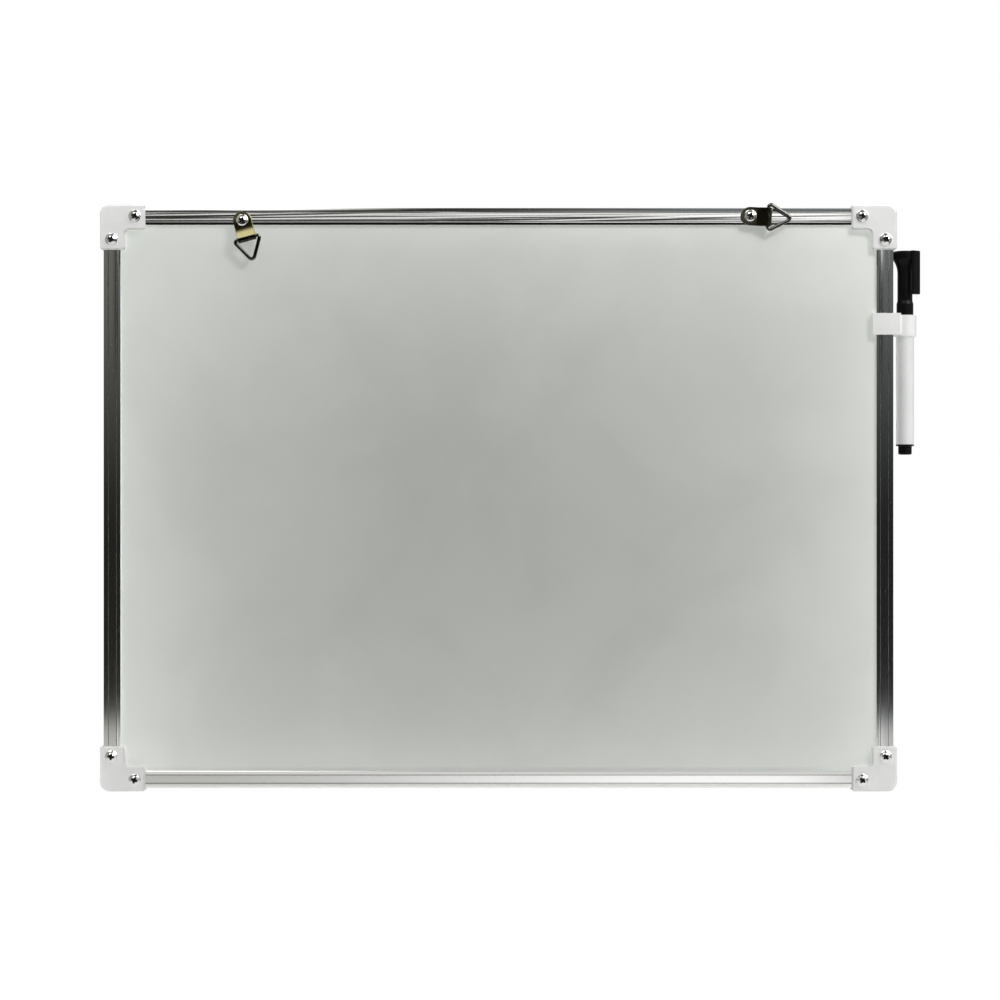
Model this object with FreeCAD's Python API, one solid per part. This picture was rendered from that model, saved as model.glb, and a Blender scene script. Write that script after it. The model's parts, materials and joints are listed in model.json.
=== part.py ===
import FreeCAD, Part
import math
import os

# A small framed dry-erase board: two wall hangers on the top rail, a marker clipped to the right rail.
# Millimetres. The board hangs upright: +X to the right, +Z up, and the hanger side faces -Y.
# The origin is midway along the top rail, on the crown of the face that the hanger straps lie on.

# Frame, over the outer edges of the rails
FRAME_WIDTH = 395.0
FRAME_HEIGHT = 290.0

# Panel: a fibreboard core between two lacquered sheets
CORE_THICKNESS = 5.0
SHEET_THICKNESS = 0.4
PANEL_PLAY = 0.1
PANEL_EDGE_GAP = 0.3

# Rail: a U-shaped extrusion whose two faces each have three beads parted by grooves
RAIL_WIDTH = 8.4
RAIL_WEB = 1.2
RAIL_FLANGE = 1.5
RAIL_END_GAP = 0.2
OUTER_BEAD = 2.3
INNER_BEAD = 1.8
BEAD_GROOVE_WIDTH = 0.3
BEAD_GROOVE_DEPTH = 0.25
BEAD_CROWN = 0.03
EDGE_BEAD_FALL = 0.5
EDGE_BEAD_RISE = 0.14

# Corner piece: an L-shaped moulded shell that takes both rail ends and the corner of the panel
CORNER_LEG = 22.5
CORNER_WALL = 1.5
CORNER_CLEARANCE = 0.12
CORNER_OVERHANG = 2.5
CORNER_PANEL_GAP = 0.1
CORNER_RADIUS = 5.0
CORNER_NOTCH_RADIUS = 2.2
CORNER_END_RADIUS = 1.2
CORNER_EDGE_ROUND = 1.0
CORNER_ROUND_LIMIT_SHARE = 0.8
CORNER_SCREW_INSET = 17.5

# Pan-head screw with a cross recess
SCREW_SHANK_RADIUS = 1.4
SCREW_POINT = 1.6
SCREW_CORE_BITE = 3.6
SCREW_HEAD_RADIUS = 3.1
SCREW_HEAD_HEIGHT = 2.2
SCREW_HEAD_RIM = 0.7
SCREW_RECESS_SPAN = 3.6
SCREW_RECESS_WIDTH = 0.9
SCREW_RECESS_DEPTH = 1.1
SCREW_PILOT_CLEARANCE = 0.05
SCREW_HOLE_CLEARANCE = 0.2

# Hanger: a strap folded round the bar of a triangular wire ring
STRAP_WIDTH = 9.2
STRAP_SHEET = 0.8
STRAP_SEAM = 0.1
STRAP_REACH = 9.0
STRAP_RAMP_ANGLE = 22.0
STRAP_RUNNING_GAP = 0.05
WIRE_RADIUS = 0.9
WIRE_CLEARANCE = 0.1
RING_SIDE_GAP = 0.3
RING_BASE_ANGLE = 60.5
RING_BEND_RADIUS = 1.2
RING_APEX_RADIUS = 1.5

# Where each hanger's screw stands: in from the frame's side and below the middle of the top rail.
# Each strap is turned from straight down towards +X.
LEFT_HANGER_INSET = 69.5
LEFT_HANGER_DROP = 2.2
LEFT_HANGER_TURN = 15.0
RIGHT_HANGER_INSET = 71.8
RIGHT_HANGER_DROP = 0.0
RIGHT_HANGER_TURN = 87.0

# Pen clip: a moulded channel that slides on the right rail and carries a ring for the marker
CLIP_ARM = 1.4
CLIP_LIP = 2.3
CLIP_FIT = 0.12
CLIP_PANEL_GAP = 0.25
CLIP_WEB = 2.0
CLIP_ARM_HEIGHT = 10.7
CLIP_ARM_TAB = 3.6
CLIP_ARM_RISE = 0.9
CLIP_RING_HEIGHT = 10.5
CLIP_RING_WALL = 0.9
CLIP_BORE_FIT = 0.2
CLIP_EDGE_RADIUS = 0.5

# Marker barrel and end plug
BARREL_RADIUS = 4.5
BARREL_WALL = 1.0
BARREL_LENGTH = 64.0
MARKER_CORNER_GAP = 0.3
PLUG_FLANGE = 0.8
PLUG_STUB_RADIUS = 3.4
PLUG_STUB = 4.3
PLUG_STUB_ROUND = 0.9
PLUG_SPIGOT = 4.0

# Marker section, nib and ink reservoir
SECTION_FLANGE = 0.8
SECTION_SPIGOT = 7.0
SECTION_FIT = 0.05
NECK_LENGTH = 12.0
NECK_FIT = 0.1
NOSE_LENGTH = 5.0
NOSE_RADIUS = 1.9
NIB_RADIUS = 1.2
NIB_REACH = 5.0
NIB_TAIL = 4.0
NIB_FIT = 0.05
RESERVOIR_FIT = 0.2
RESERVOIR_END_GAP = 0.3

# Marker cap with its pocket clip
CAP_LENGTH = 31.9
CAP_RADIUS = 3.75
CAP_WALL = 0.8
CAP_SKIRT_RADIUS = 4.2
CAP_SKIRT_HEIGHT = 5.6
CAP_SKIRT_TAPER = 1.6
CAP_HEAD_RADIUS = 6.1
CAP_HEAD_HEIGHT = 4.0
CAP_HEAD_ROUND = 0.7
CAP_FLARE_HEIGHT = 7.0
CAP_NIB_ROOM = 3.0
CAP_CORNER_GAP = 0.5
CAP_SEAT_GAP = 0.1
POCKET_CLIP_LENGTH = 21.8
POCKET_CLIP_THICKNESS = 1.6
POCKET_CLIP_WIDTH = 4.4
POCKET_CLIP_BRIDGE = 3.4
POCKET_CLIP_BUMP = 0.6
POCKET_CLIP_BUMP_HEIGHT = 1.8
POCKET_CLIP_RING_GAP = 0.25
POCKET_CLIP_ROUND = 0.6
POCKET_CLIP_TURN = 50.0

# How far every cutting solid runs past the face it cuts
OVERRUN = 2.0

# Places worked out from the sizes above
RAIL_DEPTH = CORE_THICKNESS + 2 * (SHEET_THICKNESS + PANEL_PLAY + RAIL_FLANGE)
MID_Y = RAIL_DEPTH / 2
SHEET_Y = RAIL_FLANGE + PANEL_PLAY
CORE_Y = SHEET_Y + SHEET_THICKNESS
FRAME_RIGHT = FRAME_WIDTH / 2
FRAME_TOP = RAIL_WIDTH / 2
FRAME_BOTTOM = FRAME_TOP - FRAME_HEIGHT
PANEL_INSET = RAIL_WEB + PANEL_EDGE_GAP
RAIL_SETBACK = RAIL_WIDTH + RAIL_END_GAP

CORNER_PROUD = CORNER_CLEARANCE + CORNER_WALL
CORNER_REACH = CORNER_LEG - CORNER_PROUD
CORNER_SCREW_REACH = CORNER_SCREW_INSET - CORNER_PROUD

WIRE_EYE = WIRE_RADIUS + WIRE_CLEARANCE
WIRE_HEIGHT = STRAP_RUNNING_GAP + STRAP_SHEET + WIRE_EYE
STRAP_TOP = STRAP_RUNNING_GAP + 2 * STRAP_SHEET + STRAP_SEAM
HANGER_SEAT = STRAP_TOP + STRAP_RUNNING_GAP

MARKER_X = FRAME_RIGHT + CORNER_PROUD + MARKER_CORNER_GAP + BARREL_RADIUS
CAP_TOP = FRAME_TOP - CORNER_REACH - CAP_CORNER_GAP
CAP_MOUTH = CAP_TOP - CAP_LENGTH
FLANGE_TOP = CAP_MOUTH - CAP_SEAT_GAP
BARREL_TOP = FLANGE_TOP - SECTION_FLANGE
BARREL_BOTTOM = BARREL_TOP - BARREL_LENGTH
BARREL_BORE = BARREL_RADIUS - BARREL_WALL
CAP_BORE = CAP_RADIUS - CAP_WALL
NIB_TIP = FLANGE_TOP + NECK_LENGTH + NOSE_LENGTH + NIB_REACH
SPIGOT_BOTTOM = BARREL_TOP - SECTION_SPIGOT
NIB_BOTTOM = SPIGOT_BOTTOM - RESERVOIR_END_GAP - NIB_TAIL

CLIP_RING_TOP = FLANGE_TOP - CAP_SEAT_GAP
CLIP_ARM_TOP = CLIP_RING_TOP + CLIP_ARM_RISE
CLIP_BORE = BARREL_RADIUS + CLIP_BORE_FIT
CLIP_RING_RADIUS = CLIP_BORE + CLIP_RING_WALL

# Each corner's quarter turns from the top left one, and the sides of the frame that it stands on
CORNERS = {
    "top_left": (0, -FRAME_RIGHT, FRAME_TOP),
    "top_right": (1, FRAME_RIGHT, FRAME_TOP),
    "bottom_right": (2, FRAME_RIGHT, FRAME_BOTTOM),
    "bottom_left": (3, -FRAME_RIGHT, FRAME_BOTTOM),
}
HANGERS = {
    "left": (LEFT_HANGER_INSET - FRAME_RIGHT, LEFT_HANGER_DROP, LEFT_HANGER_TURN),
    "right": (FRAME_RIGHT - RIGHT_HANGER_INSET, RIGHT_HANGER_DROP, RIGHT_HANGER_TURN),
}

V = FreeCAD.Vector
ACROSS = V(1, 0, 0)
DEEPER = V(0, 1, 0)
UP = V(0, 0, 1)
HERE = V(0, 0, 0)


def box(low, high):
    """Box between two opposite corners."""
    return Part.makeBox(high[0] - low[0], high[1] - low[1], high[2] - low[2], V(*low))


def face_inside(edges):
    """Flat face inside a closed run of edges."""
    return Part.Face(Part.Wire(edges))


def rounded_edges(points, place):
    """Edges of a closed outline through (a, b, radius) corners, each rounded by its radius."""
    rounds = []
    for index, (a, b, radius) in enumerate(points):
        corner = V(a, b, 0)
        before = V(*points[index - 1][:2], 0) - corner
        after = V(*points[(index + 1) % len(points)][:2], 0) - corner
        half = before.getAngle(after) / 2
        before.normalize()
        after.normalize()
        setback = radius / math.tan(half)
        inward = (before + after) * (1 / (2 * math.cos(half)))
        middle = corner + inward * (radius / math.sin(half) - radius)
        rounds.append((corner + before * setback, middle, corner + after * setback, radius))
    edges = []
    for index, (first, middle, last, radius) in enumerate(rounds):
        if radius:
            arc = [place(p.x, p.y) for p in (first, middle, last)]
            edges.append(Part.Arc(*arc).toShape())
        following = rounds[(index + 1) % len(rounds)][0]
        edges.append(Part.makeLine(place(last.x, last.y), place(following.x, following.y)))
    return edges


def bulged_edges(points, place):
    """Edges of a closed outline through (a, b, bulge) points, each run bulging to the right of its way."""
    edges = []
    for index, (a, b, bulge) in enumerate(points):
        next_a, next_b = points[(index + 1) % len(points)][:2]
        start = place(a, b)
        end = place(next_a, next_b)
        if bulge:
            reach = bulge / math.hypot(next_a - a, next_b - b)
            middle = place((a + next_a) / 2 + (next_b - b) * reach, (b + next_b) / 2 - (next_a - a) * reach)
            edges.append(Part.Arc(start, middle, end).toShape())
        else:
            edges.append(Part.makeLine(start, end))
    return edges


def turned(points):
    """Solid turned about the Z axis from (radius, height, bulge) points."""
    face = face_inside(bulged_edges(points, lambda r, z: V(r, 0, z)))
    return face.revolve(HERE, UP, 360)


def on_marker(shape):
    """The shape moved from the Z axis to the marker's axis."""
    return shape.translated(V(MARKER_X, MID_Y, 0))


def quarter_turned(shape, quarters, x, z):
    """The shape turned clockwise, seen from the hanger side, and moved to its place on the frame."""
    return shape.rotated(HERE, DEEPER, 90 * quarters).translated(V(x, 0, z))


def screw_axes():
    """Where the ten screws pass the rails, as (x, z)."""
    axes = []
    for quarters, x, z in CORNERS.values():
        for point in corner_screw_points():
            spot = quarter_turned(Part.Vertex(point), quarters, x, z).Point
            axes.append((spot.x, spot.z))
    for x, drop, _ in HANGERS.values():
        axes.append((x, -drop))
    return axes


def corner_screw_points():
    """The two screws of the top left corner, measured from where the rails' outer edges would cross."""
    mid = RAIL_WIDTH / 2
    return [V(CORNER_SCREW_REACH, 0, -mid), V(mid, 0, -CORNER_SCREW_REACH)]


def screw(seat):
    """Screw along +Y, with its head seated at y = -seat and its point in the core."""
    tip = CORE_Y + SCREW_CORE_BITE
    dome = SCREW_HEAD_HEIGHT - SCREW_HEAD_RIM
    dome_radius = (SCREW_HEAD_RADIUS**2 + dome**2) / (2 * dome)
    half_angle = math.asin(SCREW_HEAD_RADIUS / dome_radius) / 2
    top = -seat - SCREW_HEAD_HEIGHT
    profile = [
        (0, top, dome_radius * (1 - math.cos(half_angle))),
        (SCREW_HEAD_RADIUS, -seat - SCREW_HEAD_RIM, 0),
        (SCREW_HEAD_RADIUS, -seat, 0),
        (SCREW_SHANK_RADIUS, -seat, 0),
        (SCREW_SHANK_RADIUS, tip - SCREW_POINT, 0),
        (0, tip, 0),
    ]
    face = face_inside(bulged_edges(profile, lambda r, y: V(r, y, 0)))
    body = face.revolve(HERE, DEEPER, 360)
    long_half = SCREW_RECESS_SPAN / 2
    short_half = SCREW_RECESS_WIDTH / 2
    floor = top + SCREW_RECESS_DEPTH
    for half_x, half_z in ((long_half, short_half), (short_half, long_half)):
        body = body.cut(box((-half_x, top - OVERRUN, -half_z), (half_x, floor, half_z)))
    return body


def pilot_holes():
    """Holes that the ten screws bite into, through the rails and the hanger-side sheet into the core."""
    radius = SCREW_SHANK_RADIUS + SCREW_PILOT_CLEARANCE
    depth = CORE_Y + SCREW_CORE_BITE + SCREW_PILOT_CLEARANCE
    holes = [Part.makeCylinder(radius, OVERRUN + depth, V(x, -OVERRUN, z), DEEPER) for x, z in screw_axes()]
    return Part.makeCompound(holes)


def panel_layer(front, thickness):
    """One full-size layer of the panel, with its hanger-side face at y = front."""
    half = FRAME_RIGHT - PANEL_INSET
    low = (-half, front, FRAME_BOTTOM + PANEL_INSET)
    high = (half, front + thickness, FRAME_TOP - PANEL_INSET)
    return box(low, high)


def rail_profile():
    """Half of the rail's section as (across, deep, bulge): its outer edge, beads and panel slot."""
    centre_start = OUTER_BEAD + BEAD_GROOVE_WIDTH
    inner_start = RAIL_WIDTH - INNER_BEAD
    centre_end = inner_start - BEAD_GROOVE_WIDTH
    groove = BEAD_CROWN + BEAD_GROOVE_DEPTH
    return [
        (0, EDGE_BEAD_FALL, EDGE_BEAD_RISE),
        (OUTER_BEAD, BEAD_CROWN, 0),
        (OUTER_BEAD, groove, 0),
        (centre_start, groove, 0),
        (centre_start, BEAD_CROWN, BEAD_CROWN),
        (centre_end, BEAD_CROWN, 0),
        (centre_end, groove, 0),
        (inner_start, groove, 0),
        (inner_start, BEAD_CROWN, EDGE_BEAD_RISE),
        (RAIL_WIDTH, EDGE_BEAD_FALL, 0),
        (RAIL_WIDTH, RAIL_FLANGE, 0),
        (RAIL_WEB, RAIL_FLANGE, 0),
    ]


def rail(span):
    """Top rail for a frame of this span, centred on x = 0 with its outer edge at z = 0."""
    half = rail_profile()
    far_half = []
    for index in reversed(range(len(half))):
        bulge = half[index - 1][2] if index else 0
        far_half.append((half[index][0], RAIL_DEPTH - half[index][1], bulge))
    length = span - 2 * RAIL_SETBACK
    edges = bulged_edges(half + far_half, lambda across, deep: V(-length / 2, deep, -across))
    return face_inside(edges).extrude(ACROSS * length)


def rails():
    """The four rails, drilled for their screws."""
    mid_z = (FRAME_TOP + FRAME_BOTTOM) / 2
    long_rail = rail(FRAME_WIDTH)
    short_rail = rail(FRAME_HEIGHT)
    blanks = {
        "top_rail": quarter_turned(long_rail, 0, 0, FRAME_TOP),
        "right_rail": quarter_turned(short_rail, 1, FRAME_RIGHT, mid_z),
        "bottom_rail": quarter_turned(long_rail, 2, 0, FRAME_BOTTOM),
        "left_rail": quarter_turned(short_rail, 3, -FRAME_RIGHT, mid_z),
    }
    holes = pilot_holes()
    return {name: blank.cut(holes) for name, blank in blanks.items()}


def corner_blank():
    """Outside of the top left corner piece: a rounded L, with its legs along +X and -Z."""
    near = -CORNER_PROUD
    inner = RAIL_WIDTH + CORNER_OVERHANG
    far = CORNER_REACH
    outline = [
        (near, near, CORNER_RADIUS),
        (far, near, CORNER_END_RADIUS),
        (far, inner, CORNER_END_RADIUS),
        (inner, inner, CORNER_NOTCH_RADIUS),
        (inner, far, CORNER_END_RADIUS),
        (near, far, CORNER_END_RADIUS),
    ]
    face = face_inside(rounded_edges(outline, lambda a, b: V(a, near, -b)))
    blank = face.extrude(DEEPER * (RAIL_DEPTH + 2 * CORNER_PROUD))
    rims = [edge for edge in blank.Edges if edge.BoundBox.YLength < CORNER_PROUD]
    return blank.makeFillet(min(CORNER_EDGE_ROUND, CORNER_WALL * CORNER_ROUND_LIMIT_SHARE), rims)


def corner():
    """Top left corner piece, hollowed for both rails and slotted for the panel."""
    near = -CORNER_CLEARANCE
    rail_side = RAIL_WIDTH + CORNER_CLEARANCE
    back = RAIL_DEPTH + CORNER_CLEARANCE
    far = CORNER_REACH + OVERRUN
    lip = SHEET_Y - CORNER_PANEL_GAP
    shell = corner_blank()
    shell = shell.cut(box((near, near, -rail_side), (far, back, -near)))
    shell = shell.cut(box((near, near, -far), (rail_side, back, -near)))
    shell = shell.cut(box((near, lip, -far), (far, RAIL_DEPTH - lip, -near)))
    radius = SCREW_SHANK_RADIUS + SCREW_HOLE_CLEARANCE
    for point in corner_screw_points():
        start = point - DEEPER * (CORNER_PROUD + OVERRUN)
        shell = shell.cut(Part.makeCylinder(radius, CORNER_PROUD + OVERRUN, start, DEEPER))
    return shell


def corners():
    """The four corner pieces, and their eight screws as one group."""
    shell = corner()
    fastener = screw(CORNER_PROUD)
    pieces = {}
    fasteners = []
    for name, (quarters, x, z) in CORNERS.items():
        pieces["corner_" + name] = quarter_turned(shell, quarters, x, z)
        for point in corner_screw_points():
            fasteners.append(quarter_turned(fastener.translated(point), quarters, x, z))
    pieces["corner_screws"] = Part.makeCompound(fasteners)
    return pieces


def strap():
    """Folded strap that hangs straight down from its screw: two layers, with an eye at the fold."""
    low_out = STRAP_RUNNING_GAP
    low_in = low_out + STRAP_SHEET
    high_in = low_in + STRAP_SEAM
    back = -STRAP_WIDTH / 2
    bend = WIRE_EYE + STRAP_SHEET
    ramp = math.radians(STRAP_RAMP_ANGLE)

    def place(along, height):
        return V(back, -height, -along)

    def leaving(radius):
        return STRAP_REACH - radius * math.sin(ramp), WIRE_HEIGHT + radius * math.cos(ramp)

    def foot(radius, level):
        along, height = leaving(radius)
        return along - (height - level) / math.tan(ramp), level

    outer_arc = [(STRAP_REACH, low_out), (STRAP_REACH + bend, WIRE_HEIGHT), leaving(bend)]
    inner_arc = [leaving(WIRE_EYE), (STRAP_REACH + WIRE_EYE, WIRE_HEIGHT), (STRAP_REACH, low_in)]
    over = [leaving(bend), foot(bend, STRAP_TOP), (back, STRAP_TOP), (back, high_in)]
    under = [(back, high_in), foot(WIRE_EYE, high_in), leaving(WIRE_EYE)]
    closing = [(STRAP_REACH, low_in), (back, low_in), (back, low_out), (STRAP_REACH, low_out)]
    edges = [Part.Arc(*[place(*p) for p in arc]).toShape() for arc in (outer_arc, inner_arc)]
    for run in (over, under, closing):
        for start, end in zip(run, run[1:]):
            edges.append(Part.makeLine(place(*start), place(*end)))
    sheet = face_inside(Part.sortEdges(edges)[0]).extrude(ACROSS * STRAP_WIDTH)

    tall = WIRE_HEIGHT + bend + OVERRUN
    plan = Part.makeCylinder(STRAP_WIDTH / 2, tall, -DEEPER * tall, DEEPER)
    plan = plan.fuse(box((back, -tall, -STRAP_REACH - bend - OVERRUN), (-back, 0, 0)))
    hole = Part.makeCylinder(SCREW_SHANK_RADIUS + SCREW_HOLE_CLEARANCE, tall, -DEEPER * tall, DEEPER)
    return sheet.common(plan).cut(hole)


def ring():
    """Triangular wire ring that hangs from the eye of the strap."""
    angle = math.radians(RING_BASE_ANGLE)
    half_bar = STRAP_WIDTH / 2 + RING_SIDE_GAP
    half_base = half_bar + RING_BEND_RADIUS / math.tan(angle / 2)
    apex = STRAP_REACH + half_base * math.tan(angle)
    outline = [
        (-half_base, STRAP_REACH, RING_BEND_RADIUS),
        (half_base, STRAP_REACH, RING_BEND_RADIUS),
        (0, apex, RING_APEX_RADIUS),
    ]
    path = Part.Wire(rounded_edges(outline, lambda x, along: V(x, -WIRE_HEIGHT, -along)))
    first = path.Edges[0]
    tangent = first.tangentAt(first.FirstParameter)
    section = Part.Wire(Part.makeCircle(WIRE_RADIUS, first.valueAt(first.FirstParameter), tangent))
    return path.makePipeShell([section], True, False)


def hangers():
    """Both hangers: the same three pieces, each strap and ring turned about its screw."""
    pieces = {}
    for side, (x, drop, turn) in HANGERS.items():
        screw_at = V(x, 0, -drop)
        pieces["hanger_" + side + "_screw"] = screw(HANGER_SEAT).translated(screw_at)
        for name, shape in (("_strap", strap()), ("_ring", ring())):
            pieces["hanger_" + side + name] = shape.rotated(HERE, DEEPER, -turn).translated(screw_at)
    return pieces


def pen_clip():
    """Channel round the right rail, joined to a ring round the marker."""
    rail_inner = FRAME_RIGHT - RAIL_WIDTH - CLIP_FIT
    rail_outer = FRAME_RIGHT + CLIP_FIT
    lip = rail_inner - CLIP_LIP
    web = rail_outer + CLIP_WEB
    tab = FRAME_RIGHT + CLIP_ARM_TAB
    front = -CLIP_FIT
    back = RAIL_DEPTH + CLIP_FIT
    front_face = front - CLIP_ARM
    back_face = back + CLIP_ARM
    mouth = SHEET_Y - CLIP_PANEL_GAP
    outline = [
        (lip, front_face, CLIP_EDGE_RADIUS),
        (tab, front_face, CLIP_EDGE_RADIUS),
        (tab, front, 0),
        (web, front, 0),
        (web, back_face, CLIP_EDGE_RADIUS),
        (lip, back_face, CLIP_EDGE_RADIUS),
        (lip, RAIL_DEPTH - mouth, CLIP_EDGE_RADIUS),
        (rail_inner, RAIL_DEPTH - mouth, 0),
        (rail_inner, back, 0),
        (rail_outer, back, 0),
        (rail_outer, front, 0),
        (rail_inner, front, 0),
        (rail_inner, mouth, 0),
        (lip, mouth, CLIP_EDGE_RADIUS),
    ]
    arm_bottom = CLIP_ARM_TOP - CLIP_ARM_HEIGHT
    section = face_inside(rounded_edges(outline, lambda x, y: V(x, y, arm_bottom)))
    channel = section.extrude(UP * CLIP_ARM_HEIGHT)
    ring_bottom = CLIP_RING_TOP - CLIP_RING_HEIGHT
    sleeve = Part.makeCylinder(CLIP_RING_RADIUS, CLIP_RING_HEIGHT, V(MARKER_X, MID_Y, ring_bottom))
    inside = box((rail_inner, front, ring_bottom - OVERRUN), (rail_outer, back, CLIP_ARM_TOP))
    bore_start = V(MARKER_X, MID_Y, ring_bottom - OVERRUN)
    bore = Part.makeCylinder(CLIP_BORE, CLIP_RING_HEIGHT + CLIP_ARM_RISE + 2 * OVERRUN, bore_start)
    return channel.fuse(sleeve.cut(inside)).cut(bore).removeSplitter()


def marker_barrel():
    """Plain tube between the section and the end plug."""
    return turned([
        (BARREL_BORE, BARREL_BOTTOM, 0),
        (BARREL_RADIUS, BARREL_BOTTOM, 0),
        (BARREL_RADIUS, BARREL_TOP, 0),
        (BARREL_BORE, BARREL_TOP, 0),
    ])


def marker_end_plug():
    """Stepped plug: a spigot in the barrel, a flange flush with it and a narrower rounded stub."""
    spigot = BARREL_BORE - SECTION_FIT
    flange_bottom = BARREL_BOTTOM - PLUG_FLANGE
    stub_bottom = flange_bottom - PLUG_STUB
    round_bulge = PLUG_STUB_ROUND * (1 - math.cos(math.radians(45)))
    return turned([
        (0, stub_bottom, 0),
        (PLUG_STUB_RADIUS - PLUG_STUB_ROUND, stub_bottom, round_bulge),
        (PLUG_STUB_RADIUS, stub_bottom + PLUG_STUB_ROUND, 0),
        (PLUG_STUB_RADIUS, flange_bottom, 0),
        (BARREL_RADIUS, flange_bottom, 0),
        (BARREL_RADIUS, BARREL_BOTTOM, 0),
        (spigot, BARREL_BOTTOM, 0),
        (spigot, BARREL_BOTTOM + PLUG_SPIGOT, 0),
        (0, BARREL_BOTTOM + PLUG_SPIGOT, 0),
    ])


def marker_section():
    """Nib holder: a spigot in the barrel, a flange on its end, and a neck and nose that the cap goes over."""
    spigot = BARREL_BORE - SECTION_FIT
    neck = CAP_BORE - NECK_FIT
    bore = NIB_RADIUS + NIB_FIT
    neck_top = FLANGE_TOP + NECK_LENGTH
    return turned([
        (bore, SPIGOT_BOTTOM, 0),
        (spigot, SPIGOT_BOTTOM, 0),
        (spigot, BARREL_TOP, 0),
        (BARREL_RADIUS, BARREL_TOP, 0),
        (BARREL_RADIUS, FLANGE_TOP, 0),
        (neck, FLANGE_TOP, 0),
        (neck, neck_top, 0),
        (NOSE_RADIUS, neck_top + NOSE_LENGTH, 0),
        (bore, neck_top + NOSE_LENGTH, 0),
    ])


def marker_nib():
    """Felt rod from the reservoir to a bullet tip."""
    tip_edge = NIB_TIP - NIB_RADIUS
    chord = math.hypot(NIB_RADIUS, NIB_RADIUS)
    return turned([
        (0, NIB_BOTTOM, 0),
        (NIB_RADIUS, NIB_BOTTOM, 0),
        (NIB_RADIUS, tip_edge, NIB_RADIUS - chord / 2),
        (0, NIB_TIP, 0),
    ])


def marker_reservoir():
    """Fibre rod in the barrel, with a socket for the nib's tail."""
    radius = BARREL_BORE - RESERVOIR_FIT
    socket = NIB_RADIUS + NIB_FIT
    top = SPIGOT_BOTTOM - RESERVOIR_END_GAP
    bottom = BARREL_BOTTOM + PLUG_SPIGOT + RESERVOIR_END_GAP
    return turned([
        (0, bottom, 0),
        (radius, bottom, 0),
        (radius, top, 0),
        (socket, top, 0),
        (socket, NIB_BOTTOM - NIB_FIT, 0),
        (0, NIB_BOTTOM - NIB_FIT, 0),
    ])


def cap_body():
    """Outside of the cap without its clip: a skirt, a waist and a flared head."""
    skirt_top = CAP_MOUTH + CAP_SKIRT_HEIGHT
    head_bottom = CAP_TOP - CAP_HEAD_HEIGHT
    flare_bottom = head_bottom - CAP_FLARE_HEIGHT
    flare_out = CAP_HEAD_RADIUS - CAP_RADIUS
    chord = math.hypot(flare_out, CAP_FLARE_HEIGHT)
    flare_radius = chord**2 / (2 * flare_out)
    hollow = flare_radius - math.sqrt(flare_radius**2 - chord**2 / 4)
    round_bulge = CAP_HEAD_ROUND * (1 - math.cos(math.radians(45)))
    return turned([
        (0, CAP_MOUTH, 0),
        (CAP_SKIRT_RADIUS, CAP_MOUTH, 0),
        (CAP_SKIRT_RADIUS, skirt_top, 0),
        (CAP_RADIUS, skirt_top + CAP_SKIRT_TAPER, 0),
        (CAP_RADIUS, flare_bottom, -hollow),
        (CAP_HEAD_RADIUS, head_bottom, 0),
        (CAP_HEAD_RADIUS, CAP_TOP - CAP_HEAD_ROUND, round_bulge),
        (CAP_HEAD_RADIUS - CAP_HEAD_ROUND, CAP_TOP, 0),
        (0, CAP_TOP, 0),
    ])


def pocket_clip():
    """Tongue beside the cap, joined at its head, whose inner bump passes outside the pen clip's ring."""
    bump = CLIP_RING_RADIUS + POCKET_CLIP_RING_GAP
    inner = bump + POCKET_CLIP_BUMP
    outer = inner + POCKET_CLIP_THICKNESS
    foot = CAP_TOP - POCKET_CLIP_LENGTH
    bridge = CAP_TOP - POCKET_CLIP_BRIDGE
    outline = [
        (0, CAP_TOP, 0),
        (outer, CAP_TOP, POCKET_CLIP_ROUND),
        (outer, foot, POCKET_CLIP_ROUND),
        (bump, foot, 0),
        (bump, foot + POCKET_CLIP_BUMP_HEIGHT, 0),
        (inner, foot + POCKET_CLIP_BUMP_HEIGHT + POCKET_CLIP_BUMP, 0),
        (inner, bridge, POCKET_CLIP_ROUND),
        (0, bridge, 0),
    ]
    side = -POCKET_CLIP_WIDTH / 2
    section = face_inside(rounded_edges(outline, lambda r, z: V(r, side, z)))
    tongue = section.extrude(DEEPER * POCKET_CLIP_WIDTH)
    return tongue.rotated(HERE, UP, -POCKET_CLIP_TURN)


def marker_cap():
    """Cap with its pocket clip, bored for the neck, nose and nib."""
    depth = NIB_TIP + CAP_NIB_ROOM - CAP_MOUTH
    bore = Part.makeCylinder(CAP_BORE, depth + OVERRUN, V(0, 0, CAP_MOUTH - OVERRUN))
    return cap_body().fuse(pocket_clip()).cut(bore).removeSplitter()


def marker():
    """The marker's six pieces on their common axis."""
    pieces = {
        "marker_cap": marker_cap(),
        "marker_barrel": marker_barrel(),
        "marker_end_plug": marker_end_plug(),
        "marker_section": marker_section(),
        "marker_nib": marker_nib(),
        "marker_reservoir": marker_reservoir(),
    }
    return {name: on_marker(shape) for name, shape in pieces.items()}


def panel():
    """The panel's three layers, drilled where the screws reach them."""
    holes = pilot_holes()
    return {
        "back_sheet": panel_layer(SHEET_Y, SHEET_THICKNESS).cut(holes),
        "core_board": panel_layer(CORE_Y, CORE_THICKNESS).cut(holes),
        "front_sheet": panel_layer(CORE_Y + CORE_THICKNESS, SHEET_THICKNESS),
    }


def main():
    pieces = {**panel(), **rails(), **corners(), **hangers(), "pen_clip": pen_clip(), **marker()}
    os.makedirs("parts", exist_ok=True)
    for name, shape in pieces.items():
        shape.exportStep("parts/" + name + ".step")


if __name__ == "__main__":
    main()
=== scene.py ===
"""Looks of a framed dry-erase board with wall hangers and a clipped marker.

Laid out as an add-on and run as a script. It loads the packed solids, gives each its finish, draws the
rails and makes the screws anew, rounds the sharp edges of the pressed and moulded pieces, and sets up the
stage. Metres; the hanger side faces -Y.
"""

import json
import math

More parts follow.
